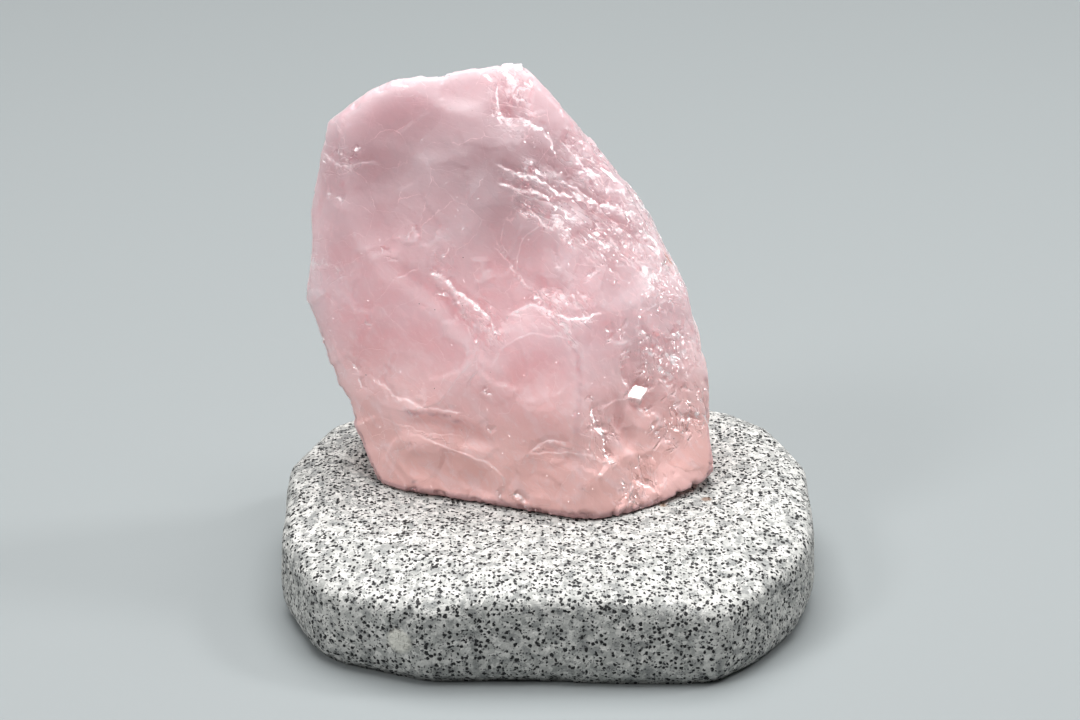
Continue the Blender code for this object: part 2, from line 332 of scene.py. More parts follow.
# heights in mm, and the share of their full tilt that the facets keep
DISH_HEIGHT = 0.16
STEP_HEIGHT = 0.32
HACKLE_HEIGHT = 0.13
BROAD_FACET_TILT = 0.05
FINE_FACET_TILT = 0.08
pushed = points + 1.1 * drift(points, 6.0, 1) + 0.35 * drift(points, 1.7, 2)
across = pushed[:, 0] - BLOW_AT[0]
up = pushed[:, 2] - FOOT - BLOW_AT[1]
from_blow = np.hypot(across, up)
around = from_blow * np.arctan2(up, across) / DRAWN_OUT
arcs = np.column_stack((from_blow, around, pushed[:, 1]))

step_phase = from_blow / STEP_PERIOD + 0.8 * swell(arcs, 6.0, 7)
step_share = splintery * rise(swell(arcs, 2.6, 6), -0.15, 0.25)
hackle_phase = from_blow / HACKLE_PERIOD + 0.9 * swell(arcs, 2.4, 9)
hackle_share = splintery * rise(swell(arcs, 1.5, 8), -0.05, 0.25)

height = DISH_HEIGHT * (dishes(pushed, 13.0, 4) - 0.35)
height += BROAD_FACET_TILT * facets(pushed, 9.0, 14)
height += FINE_FACET_TILT * facets(pushed, 3.0, 15) * (0.05 + splintery)
height += STEP_HEIGHT * teeth(step_phase) * step_share
height += HACKLE_HEIGHT * teeth(hackle_phase) * hackle_share

BACK_ACROSS = np.array([0.35, 0.55, 0.75])
BACK_PERIOD = 5.5
BACK_STEP_HEIGHT = 0.40
behind = rise(facing[:, 1], 0.0, 0.5)
back_phase = pushed @ BACK_ACROSS / BACK_PERIOD + 0.9 * swell(pushed, 13.0, 11)
height += BACK_STEP_HEIGHT * teeth(back_phase) * behind * rise(swell(points, 7.0, 10), 0.05, 0.35)
print("relief in mm:", round(height.min(), 2), "to", round(height.max(), 2))

# %% [markdown]
# Raw stone never keeps a clean edge: small chips come off wherever two faces meet. The edges are found
# by melting a copy of the stone much further. Points that stand well clear of the melted copy are on an
# edge, and there, in patches, some height is taken off.

# %% Chipped edges
MELT_ROUNDS = 24
CHIP_DEPTH = 0.60
CHIPS_SPLINTER = 0.6  # how splintery a chip is
worn = copy_of(chunk, "worn")
melt(worn, MELT_ROUNDS)
bake(worn)
worn_points, _ = points_of(worn)
bpy.data.objects.remove(worn)
proud = ((points - worn_points) * facing).sum(axis=1)
edge = rise(proud, 0.05, 0.16)
chipped = edge * rise(swell(points, 2.6, 20) + 0.5 * swell(points, 1.1, 21), -0.05, 0.25)
height -= CHIP_DEPTH * chipped
height += 0.08 * swell(points, 6.0, 19) + 0.03 * swell(points, 2.4, 25)
splintery = np.maximum(splintery, CHIPS_SPLINTER * chipped)
print("points on edges:", int((edge > 0.5).sum()))

# %% [markdown]
# ## Marks that have a place
#
# Some scars and ledges are large enough to know by place. A scar is a dish with a low sharp rim and
# faint ripples, left where a flake was struck off. A ledge is a line along which the surface drops, and
# then eases back. Each also notes how far a point is from its rim, because a bruised rim is whiter than
# the stone around it, and the finish can then draw that line finer than the mesh is, partly in the
# bruise's own white and partly as a painted highlight.

# %% Noting rims
RIM_REACH = 1.4
rim_away = np.full(len(points), RIM_REACH)
rim_share = np.zeros(len(points))
front = rise(-facing[:, 1], -0.05, 0.20)


def note_rim(away, share):
    """Keeps the distance to this rim, in mm with a sign, wherever it is the nearest one."""
    nearer = (np.abs(away) < np.abs(rim_away)) & (share > 0.02)
    rim_away[nearer] = away[nearer]
    rim_share[nearer] = (share * (1 - np.abs(away) / RIM_REACH))[nearer]


# %% Known scars
# across and up of the middle, radius along and beside, heading, depth, brightest side and how bright
SCARS = {
    "great_scar": (-27.5, 30.3, 14.0, 12.8, 75, 0.30, -20, 0.25),
    "foot_scar": (-18.5, 5.5, 10.5, 4.2, -12, 0.30, 60, 0.35),
    "middle_scar": (2.0, 45.5, 6.0, 8.0, 80, 0.20, 190, 0.25),
    "belly_scar": (-2.0, 27.0, 9.0, 5.5, 10, 0.15, 100, 0.25),
    "ridge_scar": (16.0, 15.0, 6.0, 8.5, 75, 0.30, 150, 0.30),
    "low_scar": (1.0, 8.0, 10.0, 5.0, 15, 0.15, 70, 0.30),
    "side_scar": (20.5, 31.0, 5.5, 4.0, -50, 0.25, 120, 0.30),
}
# in mm, the same for every scar
RIPPLE_HEIGHT = 0.025
RIPPLE_LENGTH = 3.2
SCAR_RIM_HEIGHT = 0.08
SCAR_RIM_WIDTH = 0.55


def scar(points, across, up, radius_along, radius_beside, heading, depth, bright_side, bright):
    """A dish with a sharp low rim and faint ripples, as where a flake was struck off."""
    turn = math.radians(heading)
    x = points[:, 0] - across
    z = points[:, 2] - FOOT - up
    along = (x * math.cos(turn) + z * math.sin(turn)) / radius_along
    beside = (z * math.cos(turn) - x * math.sin(turn)) / radius_beside
    away = np.hypot(along, beside)
    facing_rim = np.cos(np.arctan2(z, x) - math.radians(bright_side))
    note_rim((away - 1) * radius_beside, front * bright * rise(facing_rim, -0.1, 0.7))
    dish = -depth * np.clip(1 - away ** 2, 0, None)
    wave = np.sin(2 * math.pi * away * radius_along / RIPPLE_LENGTH)
    ripples = RIPPLE_HEIGHT * wave * np.clip(1 - away, 0, 1)
    rim = SCAR_RIM_HEIGHT * np.exp(-((away - 1) * radius_beside / SCAR_RIM_WIDTH) ** 2)
    return dish + ripples + rim


wandering = pushed + 2.4 * drift(points, 9.0, 16)
for values in SCARS.values():
    height += front * scar(wandering, *values)
print("scars:", len(SCARS))

# %% One ledge
def ledge(points, line, drop, run, bright):
    """A step down by drop on the upper right of the line, easing back to nothing over run."""
    x = points[:, 0]
    z = points[:, 2] - FOOT
    nearest = np.full(len(points), 1e9)
    side = np.zeros(len(points))
    fade = np.zeros(len(points))
    total = len(line) - 1
    for number in range(total):
        (x0, z0), (x1, z1) = line[number], line[number + 1]
        length = math.hypot(x1 - x0, z1 - z0)
        share = np.clip(((x - x0) * (x1 - x0) + (z - z0) * (z1 - z0)) / length ** 2, 0, 1)
        away = np.hypot(x - x0 - share * (x1 - x0), z - z0 - share * (z1 - z0))
        closer = away < nearest
        nearest = np.where(closer, away, nearest)
        turned = (x1 - x0) * (z - z0) - (z1 - z0) * (x - x0)
        side = np.where(closer, np.sign(turned), side)
        fade = np.where(closer, np.minimum(number + share, total - number - share), fade)
    inside = rise(fade, 0.0, min(0.6, total / 3))
    note_rim(nearest * side, front * inside * bright)
    return -drop * np.exp(-nearest / run) * (side > 0) * inside


# %% Known ledges
# the line's points, across and up, how far the surface drops beyond it, over what run, how bright
LEDGES = {
    "under_great_scar": (
        ((-34, 20.6), (-28, 18.4), (-23, 17.2), (-18.8, 17.3), (-15.4, 17.9)),
        0.20, 4, 0.35,
    ),
    "scar_edge": (((-14.4, 36.5), (-13.0, 31.5), (-13.0, 27.8), (-15.2, 21.0)), 0.15, 3.0, 0.35),
    "band_foot": (((-34, 13.0), (-24, 12.6), (-12.5, 12.4)), -0.12, 3.0, 0.20),
    "crest": (
        ((-22.2, 43.6), (-20.3, 41.3), (-16.5, 39.3), (-13, 37), (-10.8, 34.8), (-9.2, 32)),
        0.50, 5.0, 1.0,
    ),
    "crest_top": (((-22.0, 44.0), (-18.3, 46.1), (-17.5, 47.6)), -0.20, 3.0, 0.45),
    "cross": (((-8.5, 36.2), (-3.0, 38.6), (1.0, 37.8), (6.0, 36.8), (10.0, 36.4)), 0.35, 3.0, 0.8),
    "upper_diagonal": (((-9.8, 62.2), (-6.0, 61.0), (-2.1, 60.2), (2.1, 57.1), (5.2, 55.6)), 0.40, 3.0, 1.0),
    "second_diagonal": (
        ((-9.8, 59.3), (-5.4, 58.3), (-1.2, 56.9), (2.4, 54.6), (5.6, 51.8)),
        0.45, 3.0, 1.0,
    ),
    "third_diagonal": (((-3.8, 54.9), (-0.3, 51.9)), 0.30, 2.0, 1.0),
    "long_diagonal": (((1.0, 60.0), (5.2, 57.4), (9.5, 53.6), (14.9, 51.1)), 0.35, 2.5, 0.8),
    "shoulder_step": (((6.6, 51.0), (9.2, 48.4), (12.2, 46.3)), 0.40, 2.5, 0.9),
    "right_edge": (((16.6, 48.4), (19.6, 45.2), (21.4, 42.6), (23.6, 39.4)), 0.70, 3.0, 1.0),
    "rim_band": (((1.5, 66.5), (5.2, 62.6), (9.9, 57.6), (13.6, 54.4)), 0.45, 3.0, 0.8),
    "right_side": (((16.7, 32.8), (18.3, 28.3)), 0.30, 2.0, 0.9),
    "window_edge": (((12.8, 28.0), (13.8, 24.4), (15.4, 21.0), (17.4, 17.4), (18.6, 15.8)), 0.30, 2.0, 0.6),
    "groove": (((7.2, 22.7), (8.9, 17.8), (10.0, 14.5), (10.8, 12.0), (12.4, 8.8)), 0.50, 2.5, 1.0),
    "low_vein": (((-6.0, 10.6), (0.0, 13.8), (5.0, 14.6)), 0.12, 2.0, 0.45),
    "foot_chip": (((-6.9, 3.8), (-5.4, 2.8), (-4.5, 1.2)), 0.35, 2.0, 0.9),
    "foot_chip_left": (((-10.4, 3.0), (-8.8, 1.4)), 0.25, 1.5, 0.8),
    "foot_chip_right": (((15.2, 5.8), (17.4, 4.2), (20.6, 2.4)), 0.30, 2.0, 0.9),
    "tip_border": (((-9.5, 75.6), (-9.9, 72.8), (-8.6, 70.6), (-5.8, 69.2)), 0.40, 3.0, 1.0),
    "tip_foot": (((-5.8, 69.2), (-1.0, 67.9), (0.6, 65.0), (2.0, 62.4)), 0.25, 2.5, 0.7),
    "left_notch": (((-43.5, 60.8), (-40.0, 59.4), (-35.0, 59.6), (-30.0, 60.6)), 0.20, 2.5, 0.35),
    "left_vein": (((-28.6, 40.3), (-25.5, 41.7), (-22.6, 43.4)), 0.10, 2.0, 0.4),
    "long_vein": (((-10.2, 48.0), (-7.6, 45.2), (-4.9, 42.2), (-3.0, 40.8)), -0.12, 2.0, 0.5),
    "short_vein": (((-8.6, 53.6), (-8.2, 49.0), (-6.4, 45.0)), -0.10, 3.0, 0.3),
}
jagged = points + 0.8 * drift(points, 4.0, 17) + 0.5 * drift(points, 1.3, 18)
for values in LEDGES.values():
    height += front * ledge(jagged, *values)
print("ledges:", len(LEDGES))

# %% [markdown]
# Tiny splinters catch the light here and there. Each is a very short ledge, so the same function makes
# them. Only their two ends are given, and the drop is always small. Down the right edge there are too
# many to place one by one, so random draws from a fixed start scatter them, the same on every run.

# %% Splinters
SPLINTERS = (
    ((-28.8, 74.8), (-25.6, 74.0)), ((-12.4, 76.5), (-9.6, 75.6)), ((-10.3, 70.5), (-9.3, 69.6)),
    ((-8.8, 70.4), (-8.4, 69.1)), ((-5.3, 69.3), (-3.5, 69.0)), ((-1.1, 67.9), (-0.2, 66.2)),
    ((-3.9, 76.0), (-2.7, 74.7)), ((-42.5, 58.8), (-40.6, 58.0)), ((-41.2, 53.8), (-40.4, 53.4)),
    ((-38.6, 53.7), (-37.9, 53.2)), ((-24.1, 49.8), (-25.8, 47.8)), ((-30.8, 45.5), (-30.4, 44.3)),
    ((-29.3, 44.2), (-29.0, 43.5)), ((-21.2, 44.3), (-20.2, 44.9)), ((-19.6, 45.2), (-18.6, 45.8)),
    ((-21.2, 38.4), (-17.6, 38.0)), ((-10.9, 34.7), (-9.2, 32.5)), ((-8.4, 36.3), (-7.7, 35.3)),
    ((-6.4, 36.8), (-4.6, 36.4)), ((-3.5, 40.0), (-1.3, 39.5)), ((-12.2, 22.3), (-10.3, 21.9)),
    ((-35.0, 31.0), (-33.6, 30.4)), ((-37.0, 22.8), (-36.0, 20.6)), ((-35.6, 20.0), (-34.3, 17.9)),
    ((-11.5, 15.4), (-10.0, 14.4)), ((13.8, 45.9), (14.4, 45.1)), ((7.1, 43.3), (7.7, 42.6)),
    ((3.9, 40.7), (5.2, 40.2)), ((22.8, 30.3), (24.4, 29.0)), ((22.8, 26.2), (24.8, 24.5)),
    ((20.6, 27.6), (21.6, 26.6)), ((21.4, 22.2), (22.4, 20.8)), ((25.4, 22.6), (26.2, 21.4)),
    ((11.8, 55.8), (13.4, 54.4)), ((11.8, 53.2), (14.9, 51.1)), ((8.0, 54.4), (9.2, 53.4)),
)
SPLINTER_DROP = 0.08
SPLINTER_RUN = 0.8
SPLINTER_BRIGHT = 0.8
SCATTERED = 36
SCATTER_UP = (9.0, 34.0)  # heights above the foot between which they lie
SCATTER_EDGE = 27.5  # how far right the edge is at the foot
SCATTER_BEND = 0.010  # how much the edge bends left with height
SCATTER_INWARD = 7.0  # how far in from the edge they reach
SCATTER_LENGTH = (0.4, 1.2)
SCATTER_LEAN = (-75, -25)
draw = random.Random(5)
scattered = []
for _ in range(SCATTERED):
    up = draw.uniform(*SCATTER_UP)
    across = SCATTER_EDGE - SCATTER_BEND * up ** 2 - SCATTER_INWARD * draw.random() ** 1.5
    length = draw.uniform(*SCATTER_LENGTH)
    lean = math.radians(draw.uniform(*SCATTER_LEAN))
    scattered.append(((across, up), (across + length * math.cos(lean), up + length * math.sin(lean))))
for line in (*SPLINTERS, *scattered):
    height += front * ledge(jagged, line, SPLINTER_DROP, SPLINTER_RUN, SPLINTER_BRIGHT)
moved = points + facing * height[:, None]
print("splinters:", len(SPLINTERS), "placed and", len(scattered), "scattered")

# %% [markdown]
# A few broken facets are flat and tilted just right to mirror a lamp, and they flash. Each is made by
# cutting what stands proud of a small plane. The plane's normal lies half way between the directions of
# the lamp and of the camera, as with any mirror. What faces left mirrors the fill, the rest the key. The
# tilt is worked out for this camera and these lamps: seen from elsewhere, a facet mirrors something else.

# %% The tilt that mirrors a lamp
def directions(places, target):
    """Unit directions from each place to the target, both in millimetres."""
    toward = target - places
    return toward / np.linalg.norm(toward, axis=-1, keepdims=True)


def mirror_tilts(places, lamp_from):
    """For each place, the way a facet there must face to mirror that lamp to the viewer."""
    half = directions(places, np.array(camera.location) / MM)
    half += directions(places, np.array(AIM + lamp_from * LAMP_DISTANCE) / MM)
    return half / np.linalg.norm(half, axis=-1, keepdims=True)


leftward = rise(-facing[:, 0], 0.0, 0.2)[:, None]
tilts = mirror_tilts(points, KEY_FROM) * (1 - leftward) + mirror_tilts(points, FILL_FROM) * leftward
print("share of points that mirror the fill:", round(float((leftward > 0.5).mean()), 2))

# %% Flat facets that flash when they face the light
# across and up of the middle, half length down to the right, half width, and depth of the cut
FLASHES = {
    "bright_window": (16.5, 20.7, 1.9, 1.9, 0.0),
    "right_low": (27.2, 13.0, 1.8, 0.9, 0.15),
    "right_middle": (25.8, 19.0, 1.3, 0.6, 0.15),
    "right_high": (23.6, 29.6, 1.2, 0.6, 0.15),
    "right_dot": (23.8, 25.4, 1.2, 0.5, 0.15),
    "groove_middle": (9.5, 16.0, 1.7, 0.5, 0.0),
    "groove_top": (7.5, 22.2, 0.8, 0.6, 0.15),
    "groove_low": (11.4, 10.6, 1.4, 0.4, 0.15),
    "crest_foot": (-10.0, 33.4, 1.5, 0.4, 0.0),
    "edge": (19.6, 44.6, 3.0, 0.5, 0.15),
    "edge_foot": (22.4, 41.2, 2.0, 0.6, 0.15),
    "rim_sliver": (11.8, 57.6, 2.8, 0.6, 0.15),
    "diagonal": (-1.6, 60.6, 1.8, 0.6, 0.15),
    "second_diagonal": (-2.9, 57.6, 2.2, 0.5, 0.15),
    "shoulder": (9.8, 48.4, 2.2, 0.5, 0.15),
    "pair_high": (-35.4, 62.5, 0.9, 0.8, 0.0),
    "pair_low": (-35.9, 60.2, 1.3, 0.7, 0.0),
    "crest_dot": (-11.2, 22.1, 0.8, 0.5, 0.15),
}
FLASH_REACH = 1.6
flashing = np.zeros(len(points))
for across, up, half_length, half_width, cut_depth in FLASHES.values():
    x = moved[:, 0] - across
    z = moved[:, 2] - FOOT - up
    patch = (np.abs(x - z) / math.sqrt(2) < half_length) & (np.abs(x + z) / math.sqrt(2) < half_width)
    patch &= facing[:, 1] < 0
    if not patch.any():
        continue
    tilt = tilts[patch].mean(axis=0)
    tilt /= np.linalg.norm(tilt)
    centre = moved[patch].mean(axis=0) - cut_depth * tilt
    clear = (moved - centre) @ tilt
    cut = patch & (np.abs(clear) < FLASH_REACH) & ((clear > 0) | (cut_depth == 0))
    moved[cut] -= clear[cut, None] * tilt
    flashing[cut] = 1
print("points moved onto flat facets:", int(flashing.sum()))

# %% [markdown]
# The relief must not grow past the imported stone's box, and the base must stay flat to stand on. Only the
# right end of the foot is broken off a little higher, which leaves a dark gap there. The numbers that
# the finish needs later are kept on the points as attributes.

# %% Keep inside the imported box, and stand flat
BASE_SKIN = 0.35
LIFT_FROM, LIFT_TO = 19.0, 27.0
FOOT_LIFT = 1.3
low, high = (np.array(corner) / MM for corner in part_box("rose_quartz_chunk"))
moved = np.clip(moved, low, high)
moved[points[:, 2] < low[2] + BASE_SKIN, 2] = FOOT
lift = FOOT_LIFT * rise(points[:, 0], LIFT_FROM, LIFT_TO)
moved[:, 2] = np.maximum(moved[:, 2], FOOT + lift)
move_points(chunk, moved)


def note(piece, **numbers):
    """Keeps a number or a direction for each point of the piece, by name, for its finish to read."""
    for name, values in numbers.items():
        kind, field = ("FLOAT", "value") if values.ndim == 1 else ("FLOAT_VECTOR", "vector")
        attribute = piece.data.attributes.new(name, kind, "POINT")
        attribute.data.foreach_set(field, values.astype(np.float32).ravel())


note(chunk, rim_away=rim_away, rim_share=rim_share, step_phase=step_phase, step_share=step_share)
note(chunk, hackle_phase=hackle_phase, hackle_share=hackle_share, splintery=splintery)
note(chunk, flashing=flashing, edge=edge, mirror_tilt=tilts)
chunk.data.calc_loop_triangles()
print("quartz triangles:", len(chunk.data.loop_triangles))

# %% [markdown]
# ## Rose quartz
#
# Massive rose quartz is clear quartz made milky by countless tiny inclusions, which also give it its
# pink. Light enters, scatters and comes out nearby, so the stone has no hard shadows of its own, and it
# is deeper in colour where light has travelled further. Broken faces are glassy. Inside are white veils,
# which are healed cracks, and a few dark specks.
#
# The patterns all start from places in millimetres, so that each size below is a real one. The places
# are bent by soft noise first, and a second set is squeezed along the way that the splinters run.

# %% Places, bent and squeezed
LINES_RUN = (0.72, 0.0, -0.69)
SQUEEZE = 0.70


def millimetres(tree):
    """Places on the piece in millimetres."""
    places = add(tree, "VectorMath", [add(tree, "TexCoord").outputs["Object"]], operation="SCALE")
    places.inputs["Scale"].default_value = 1 / MM
    return places


def bent_places(tree, places, size, reach):
    """The same places, each pushed by soft noise of this size by up to about this far."""
    clouds = add(tree, "TexNoise", {"Vector": places, "Scale": 1 / size, "Detail": 4.0})
    push = add(tree, "VectorMath", [clouds.outputs["Color"], (0.5, 0.5, 0.5)], operation="SUBTRACT")
    return add(tree, "VectorMath", [push, (reach,) * 3, places], operation="MULTIPLY_ADD")


def squeezed_places(tree, places):
    """The same places, squeezed along the splinters' run, which draws patterns out along it."""
    along = add(tree, "VectorMath", [places, LINES_RUN], operation="DOT_PRODUCT")
    shift = add(tree, "Math", [along.outputs["Value"], -SQUEEZE], operation="MULTIPLY")
    back = add(tree, "VectorMath", {0: LINES_RUN, "Scale": shift}, operation="SCALE")
    return add(tree, "VectorMath", [places, back], operation="ADD")


def patch_at(tree, places, middle, radius, softness):
    """1 within this radius of a point, in millimetres, and 0 beyond, with a ragged edge."""
    away = add(tree, "VectorMath", [places, middle], operation="DISTANCE")
    inputs = [away.outputs["Value"], radius + softness, radius - softness]
    return add(tree, "MapRange", inputs, interpolation_type="SMOOTHSTEP")


print("splinter lines are drawn out", round(1 / (1 - SQUEEZE), 1), "times")

# %% A mosaic of small tilted facets
def mosaic(tree, places, size, slope, lean=(0.0, 0.0, 0.0)):
    """Flat facets in a mosaic: their height in mm, a random share for each, and distance to a seam."""
    cells = add(tree, "TexVoronoi", {"Vector": places, "Scale": 1 / size})
    offset = add(tree, "VectorMath", [places, cells.outputs["Position"]], operation="SUBTRACT")
    tilt = add(tree, "VectorMath", [cells.outputs["Color"], (0.5, 0.5, 0.5)], operation="SUBTRACT")
    tilt = add(tree, "VectorMath", [tilt, (2 * slope,) * 3, lean], operation="MULTIPLY_ADD")
    lift = add(tree, "VectorMath", [offset, tilt], operation="DOT_PRODUCT").outputs["Value"]
    chance = add(tree, "SeparateColor", [cells.outputs["Color"]])
    seam = add(tree, "TexVoronoi", {"Vector": places, "Scale": 1 / size}, feature="DISTANCE_TO_EDGE")
    return lift, chance, seam


# %% [markdown]
# The body is a slow mixture of deeper and paler rose. On it lies painted light: a warmer painted glow
# towards the foot, for light that comes up through the stone from the slab, a greyer painted sheen at
# the thin right edge, and painted shade towards the top, which tones down the light from overhead.
# Veils and fine seam lines lie over it. A rusty stain marks one small facet, and there are a few specks.

# %% The milky body, with painted glow, sheen and shade
VEILS = {"large": (2.6, 0.50, 0.70, 0.36), "fine": (0.9, 0.54, 0.66, 0.28)}
SPECK_SPACING = 2.6
SPECK_RADIUS = 0.13
STAIN_AT = (21.9, 10.5, FOOT + 41.8)
STAIN_RADIUS = 1.3
MARK_AT = (-24.5, -4.4, FOOT + 2.9)  # a small dark mark, low on the left
# where each painted sheen, glow and shade starts and is full, in mm across or above the ground, and its
# share there
RIGHT_PAINTED_SHEEN = (-6.0, 22.0, 0.0, 0.60)
FOOT_PAINTED_GLOW = (54.0, 24.0, 0.0, 0.90)
TOP_PAINTED_SHADE = (50.0, 84.0, 0.0, 0.95)


def milky_body_and_painted_light(tree, places, bent, squeezed, broad_chance, broad_seam):
    """The colour of the stone below its surface, with a painted glow at the foot, a painted sheen at the
    right and painted shade at the top.
    """
    clouds = add(tree, "TexNoise", {"Vector": bent, "Scale": 1 / 15.0, "Detail": 4.0})
    milk = add(tree, "MapRange", [clouds, 0.36, 0.66], interpolation_type="SMOOTHSTEP")
    body = add(tree, "MixRGB", [milk, linear("#F1C1C6"), linear("#F2CDD2")])
    axes = add(tree, "SeparateXYZ", [bent])
    # painted sheen: paler and greyer towards the right edge, for light glancing off that side
    right = add(tree, "MapRange", [axes.outputs["X"], *RIGHT_PAINTED_SHEEN], interpolation_type="SMOOTHSTEP")
    body = add(tree, "MixRGB", [right, body, linear("#C9BBBF")])
    # painted glow: warmer towards the foot, for light that comes up through the stone from the slab
    foot = add(tree, "MapRange", [axes.outputs["Z"], *FOOT_PAINTED_GLOW], interpolation_type="SMOOTHSTEP")
    body = add(tree, "MixRGB", [foot, body, linear("#FFC3BC")])
    paler = add(tree, "Math", [broad_chance, 0.14], operation="MULTIPLY")
    body = add(tree, "MixRGB", [paler, body, linear("#F0D2D6")])

    for size, start, end, share in VEILS.values():
        threads = add(tree, "TexNoise", {"Vector": squeezed, "Scale": 1 / size, "Detail": 7.0})
        veil = add(tree, "MapRange", [threads, start, end, 0.0, share], interpolation_type="SMOOTHSTEP")
        body = add(tree, "MixRGB", [veil, body, linear("#FFDDE0")])
    # painted shade: darker towards the top, to tone down the light from overhead
    top = add(tree, "MapRange", [axes.outputs["Z"], *TOP_PAINTED_SHADE], interpolation_type="SMOOTHSTEP")
    body = add(tree, "MixRGB", [top, body, linear("#BDA5AA")])

    small_seam = add(tree, "TexVoronoi", {"Vector": bent, "Scale": 1 / 3.2}, feature="DISTANCE_TO_EDGE")
    for seam, width, some_from in ((broad_seam, 0.016, 0.50), (small_seam, 0.022, 0.64)):
        some = add(tree, "TexNoise", {"Vector": places, "Scale": 1 / 4.0, "Detail": 3.0})
        some = add(tree, "MapRange", [some, some_from, some_from + 0.1], interpolation_type="SMOOTHSTEP")
        line = add(tree, "MapRange", [seam, width, 0.0, 0.0, 0.35], interpolation_type="SMOOTHSTEP")
        line = add(tree, "Math", [line, some], operation="MULTIPLY")
        body = add(tree, "MixRGB", [line, body, linear("#FFE2E4")])

    cells = add(tree, "TexVoronoi", {"Vector": places, "Scale": 1 / SPECK_SPACING})
    inputs = [cells.outputs["Distance"], SPECK_RADIUS / SPECK_SPACING, 0.6 * SPECK_RADIUS / SPECK_SPACING]
    speck = add(tree, "MapRange", inputs, interpolation_type="SMOOTHSTEP")
    chance = add(tree, "SeparateColor", [cells.outputs["Color"]])
    rare = add(tree, "Math", [chance, 0.80], operation="GREATER_THAN")
    speck = add(tree, "Math", [speck, rare], operation="MULTIPLY")
    body = add(tree, "MixRGB", [speck, body, linear("#6E4A4C")])
    stain = add(tree, "Math", [patch_at(tree, bent, STAIN_AT, STAIN_RADIUS, 0.8), 0.6], operation="MULTIPLY")
    body = add(tree, "MixRGB", [stain, body, linear("#C07A55")])
    mark = add(tree, "Math", [patch_at(tree, bent, MARK_AT, 0.7, 0.4), 0.5], operation="MULTIPLY")
    return add(tree, "MixRGB", [mark, body, linear("#8A6065")])


# %% [markdown]
# Wherever quartz is bruised it is full of tiny cracks, which look white and sparkle. The white painted
# along the lines is partly that, and partly a painted highlight for their sparkle. The bruises follow the
# rims, the steps and the hackle that the mesh was given, whose numbers are read back from its points.
# The same numbers cut those lines into the surface, finer than the mesh could.

# %% Lines of bruised stone with a painted highlight, and how deep they cut
BRUISE_AND_HIGHLIGHT_LINES = {
    # the number that runs across the steps, the share of them, width of the white and painted-highlight
    # line, of the cut, depth
    "step": ("step_phase", "step_share", 0.08, 0.16, 0.36),
    "hackle": ("hackle_phase", "hackle_share", 0.16, 0.34, 0.26),
}


def bruise_and_highlight_lines(tree, rim_share):
    """How white the bruised lines are, with their painted highlight, from 0 to 1, and how deep they cut, in
    mm.
    """
    away = add(tree, "Attribute", attribute_name="rim_away").outputs["Fac"]
    beside = add(tree, "Math", [away], operation="ABSOLUTE")
    width = add(tree, "Math", [rim_share, 0.34, 0.10], operation="MULTIPLY_ADD")
    white = add(tree, "MapRange", [beside, width, 0.03], interpolation_type="SMOOTHSTEP")
    white = add(tree, "Math", [white, rim_share], operation="MULTIPLY")
    cut = add(tree, "MapRange", [away, -0.28, 0.28, 0.0, 0.55], interpolation_type="SMOOTHSTEP")
    cut = add(tree, "Math", [cut, rim_share], operation="MULTIPLY")
    for phase_name, share_name, white_width, cut_width, depth in BRUISE_AND_HIGHLIGHT_LINES.values():
        phase = add(tree, "Attribute", attribute_name=phase_name).outputs["Fac"]
        share = add(tree, "Attribute", attribute_name=share_name).outputs["Fac"]
        tooth = add(tree, "Math", [phase], operation="FRACT")
        line = add(tree, "MapRange", [tooth, white_width, 0.02], interpolation_type="SMOOTHSTEP")
        line = add(tree, "Math", [line, share], operation="MULTIPLY")
        white = add(tree, "Math", [white, line], operation="MAXIMUM")
        notch = add(tree, "MapRange", [tooth, 0.0, cut_width, depth, 0.0], interpolation_type="SMOOTHSTEP")
        cut = add(tree, "Math", [notch, share, cut], operation="MULTIPLY_ADD")
    return white, cut


# %% [markdown]
# Along a bruised line stand rows of tiny splinters. They broke with nearly the same tilt, so when the
# light comes right they flash together, as fine white dashes. They are narrower than a face of the mesh,
# so the shader turns the surface for them, to the tilt kept on the points. That is the tilt of the large
# flashing facets, so the dashes too are set for this camera and these lamps. Seen from 30 degrees further
# round, they are already out.

# %% Dashes that flash
GLINT_BAND = 0.7
GLINT_SIZE = 0.27
GLINTS_IN_BANDS = 0.35  # how strongly a band counts, where the brightest rim counts 1
GLINT_PUSH = 0.20  # how much such a rim lifts the noise towards the level where it flashes
GLINT_LEVEL = (0.71, 0.74)


def splinter_glints(tree, squeezed, splintery, rim_share):
    """Where the tiny splinters lie, from 0 to 1: dashes along the rims and in the splintery bands."""
    away = add(tree, "Attribute", attribute_name="rim_away").outputs["Fac"]
    beside = add(tree, "Math", [away], operation="ABSOLUTE")
    near = add(tree, "MapRange", [beside, GLINT_BAND, 0.1], interpolation_type="SMOOTHSTEP")
    near = add(tree, "Math", [near, rim_share], operation="MULTIPLY")
    band = add(tree, "Math", [splintery, GLINTS_IN_BANDS], operation="MULTIPLY")
    share = add(tree, "Math", [near, band], operation="MAXIMUM")
    threads = add(tree, "TexNoise", {"Vector": squeezed, "Scale": 1 / GLINT_SIZE, "Detail": 2.0})
    reach = add(tree, "Math", [share, GLINT_PUSH, threads], operation="MULTIPLY_ADD")
    return add(tree, "MapRange", [reach, *GLINT_LEVEL], interpolation_type="SMOOTHSTEP")


# %% [markdown]
# Everything meets in the shader. A freshly broken face is as glossy as glass, and so are the chips in
# the bands, while the large faces are a little duller from handling. Subsurface scattering stands for
# the milkiness: its scale is how far light wanders inside, here about 27 mm. The foot is given less of
# it, because light that wanders down there would be lost into the slab, and a real foot stays bright.

# %% The milky pink, glassy material
# the edges' deeper pink is painted shade, which tones down the light that the edges catch
EDGE_PAINTED_SHADE = 0.6  # how far an edge's colour goes to a deeper pink
WHOLE_RIM = 0.5  # share of the brightest rims' white that is never broken up
DULL, GLASSY = 0.50, 0.12
MILKY_FROM, MILKY_TO = FOOT + 2, FOOT + 34
LEAST_MILKY, MOST_MILKY = 0.15, 0.95


